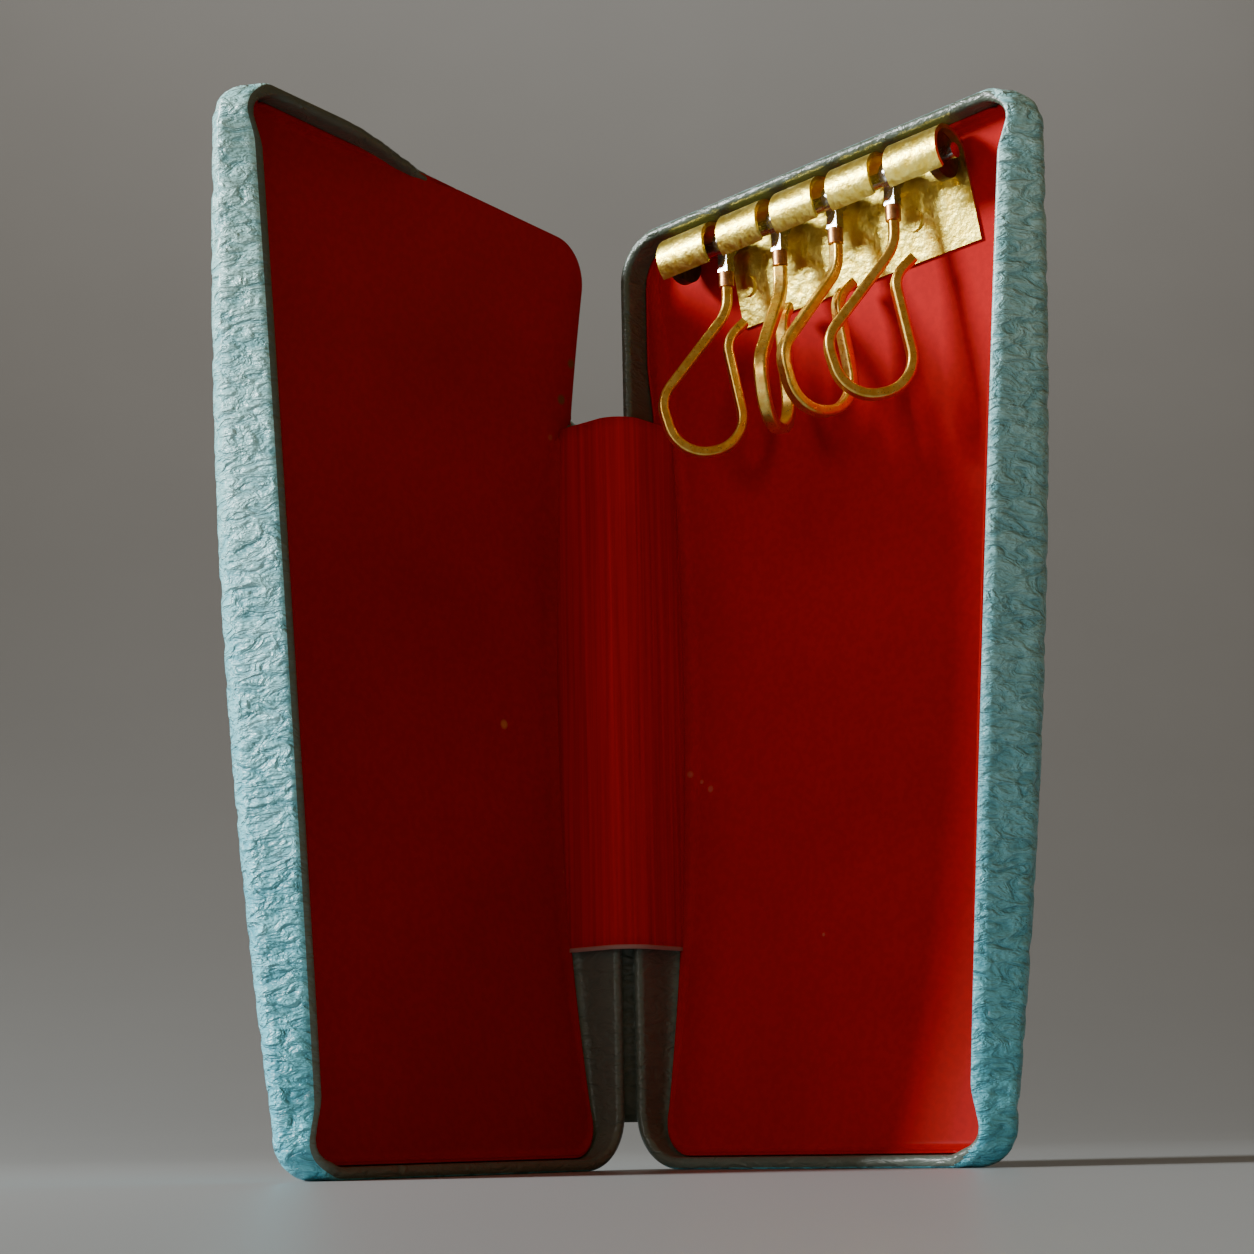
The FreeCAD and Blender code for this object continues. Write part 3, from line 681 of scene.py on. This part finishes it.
# The same leatherette darkened as painted shade, for the turned-in walls, the inner floor and the spine fold
shade_look = leatherette("leatherette_painted_shade", (0.13, 0.17, 0.14), (0.09, 0.12, 0.09), wrinkles=0.3)
lining_look, strip_look = crimson(), strip_red()
bar_look = metal("bar_brass", (0.82, 0.6, 0.07), (1.0, 0.84, 0.2),
                 roughness=0.34, dent=0.7, dent_size=0.8, dent_depth=0.14)
hook_look = metal("hook_brass", (0.85, 0.48, 0.08), (1.0, 0.74, 0.2),
                  roughness=0.32, dent=0.3, dent_size=0.8, dent_depth=0.06)
nickel_look = metal("nickel", (0.5, 0.5, 0.49), (0.68, 0.67, 0.65),
                    roughness=0.22, dent=0.15, dent_size=0.6, dent_depth=0.03)
copper_look = metal("copper", (0.45, 0.2, 0.08), (0.66, 0.34, 0.15),
                    roughness=0.34, dent=0.3, dent_size=0.4, dent_depth=0.05)
steel_look = metal("hinge_steel", (0.3, 0.3, 0.3), (0.42, 0.42, 0.42),
                   roughness=0.4, dent=0.15, dent_size=0.8, dent_depth=0.03)
# Near-black brass for the bar's end plugs: painted shade for the dark hollow ends of the hood
plug_shade_look = metal("plug_brass_painted_shade", (0.1, 0.07, 0.04), (0.18, 0.13, 0.07),
                  roughness=0.5, dent=0.3, dent_size=0.6, dent_depth=0.05)
board_look = board()

looks = {
    "key_bar_axle": nickel_look, "key_bar_plugs": plug_shade_look, "key_bar_rivets": bar_look, "key_bar": bar_look,
    "hinge_": steel_look, "hook_link": nickel_look, "hook_ferrule": copper_look, "key_hook": hook_look,
    "left_shell": board_look, "right_shell": board_look,
}
for name, node in frame["nodes"].items():
    for start, look in looks.items():
        if name.startswith(start):
            paint(node, look)
            break

for side, word, body in ((LEFT, "left", "left_cover"), (RIGHT, "right", "right_case")):
    skin = cover_skin(side, f"{word}_leatherette")
    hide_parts(f"{word}_outer_skin", f"{word}_shell")
    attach(skin, body)
    lining = cover_lining(side, f"{word}_lining_sheet")
    paint(lining, lining_look)
    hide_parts(f"{word}_lining")
    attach(lining, body)

strip = band("spine_strip", strip_path, STRIP_LOW, STRIP_HIGH, STRIP_SHEET)
paint(strip, strip_look)
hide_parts("spine_lining")
fold = band("spine_fold", fold_path, FOLD_FOOT, BREAK_HEIGHT, FOLD_SHEET)
# The spine fold gets the painted-shade leatherette, dark as the shade behind the hinge
paint(fold, shade_look)
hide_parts("spine_skin")
flat = frame["nodes"]["hinge_spring"]
spring = add_object("spring_band", [flat.matrix_world @ vertex.co for vertex in flat.data.vertices],
                    [list(face.vertices) for face in flat.data.polygons])
paint(spring, steel_look)
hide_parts("hinge_spring")
for piece, reach in ((strip, STRIP_BEND), (fold, FOLD_BEND), (spring, SPRING_BEND)):
    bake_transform(piece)


# Floor, light and camera, in metres
LIT_POINT = (0, 0, 0.05)
FLOOR_TONE, WORLD_TONE = (0.27, 0.28, 0.28), (0.195, 0.125, 0.066, 1)


def plain(name, colour, roughness):
    """A plain material for the stage."""
    shader = Shader(name)
    cloud = shader.noise(size=90, detail=2)
    shader.colour(shader.ramp(cloud, [(0.3, [value * 0.97 for value in colour]), (0.7, colour)]))
    shader.set(Roughness=roughness)
    return shader.material


def sweep():
    """A floor that curves up to a backdrop."""
    reach, start, bend, top, half_width, steps = 2.0, 0.25, 1.2, 2.5, 3.0, 33
    curve = [(start + bend * math.sin(angle), bend - bend * math.cos(angle))
             for angle in np.linspace(0, math.pi / 2, steps)]
    profile = [(-reach, 0)] + curve + [(start + bend, top)]
    vertices = [(x, y, z) for x in (-half_width, half_width) for y, z in profile]
    count = len(profile)
    faces = [(i, i + 1, count + i + 1, count + i) for i in range(count - 1)]
    ground = add_object("floor", vertices, [face[::-1] for face in faces])
    paint(ground, plain("floor", FLOOR_TONE, roughness=0.4))


def area_light(name, place, target, size, power, colour):
    """A soft light aimed at a point."""
    data = bpy.data.lights.new(name, "AREA")
    data.shape = "RECTANGLE"
    data.size, data.size_y = size
    data.energy = power
    data.color = colour
    lamp = bpy.data.objects.new(name, data)
    lamp.location = place
    lamp.rotation_euler = (Vector(target) - Vector(place)).to_track_quat("-Z", "Y").to_euler()
    bpy.context.scene.collection.objects.link(lamp)


sweep()
area_light("key", place=(-0.6, -0.055, 0.36), target=LIT_POINT, size=(0.16, 0.16), power=9.6,
           colour=(0.95, 0.99, 1.0))
area_light("front", place=(-0.54, -0.51, 0.2), target=LIT_POINT, size=(0.25, 0.25), power=0.85,
           colour=(1.0, 0.98, 0.95))
area_light("backdrop", place=(0.0, 0.85, 1.3), target=(0, 1.45, 1.0), size=(1.5, 0.3), power=5.2,
           colour=(1.0, 0.99, 0.96))
world = bpy.data.worlds.new("studio")
world.use_nodes = True
world.node_tree.nodes["Background"].inputs["Color"].default_value = WORLD_TONE
world.node_tree.nodes["Background"].inputs["Strength"].default_value = 1.0
bpy.context.scene.world = world

# Camera: image and focal length in pixels, sensor and place in millimetres, turns in degrees
IMAGE_SIZE, FOCAL_PIXELS, SENSOR = 1254, 2400, 36.0
CAMERA_ASIDE, CAMERA_BACK, CAMERA_HEIGHT = -15.0, 251.3, 4.0
CAMERA_TURNS = (3.55, 11.84, -1.12)
NEAREST = 5.0
camera_place = (CAMERA_ASIDE * MM, (HINGE_Y - CAMERA_BACK) * MM, CAMERA_HEIGHT * MM)
turn, pitch, roll = [math.radians(angle) for angle in CAMERA_TURNS]
forward = Vector((math.sin(turn) * math.cos(pitch), math.cos(turn) * math.cos(pitch), math.sin(pitch)))
level = Vector((math.cos(turn), -math.sin(turn), 0))
below = forward.cross(level)
right = level * math.cos(roll) - below * math.sin(roll)
under = level * math.sin(roll) + below * math.cos(roll)
data = bpy.data.cameras.new("camera")
data.sensor_width = SENSOR
data.lens = FOCAL_PIXELS / IMAGE_SIZE * SENSOR
data.clip_start = NEAREST * MM
camera = bpy.data.objects.new("camera", data)
facing = Matrix((right, -under, -forward)).transposed().to_4x4()
camera.matrix_world = Matrix.Translation(camera_place) @ facing
bpy.context.scene.collection.objects.link(camera)
bpy.context.scene.camera = camera
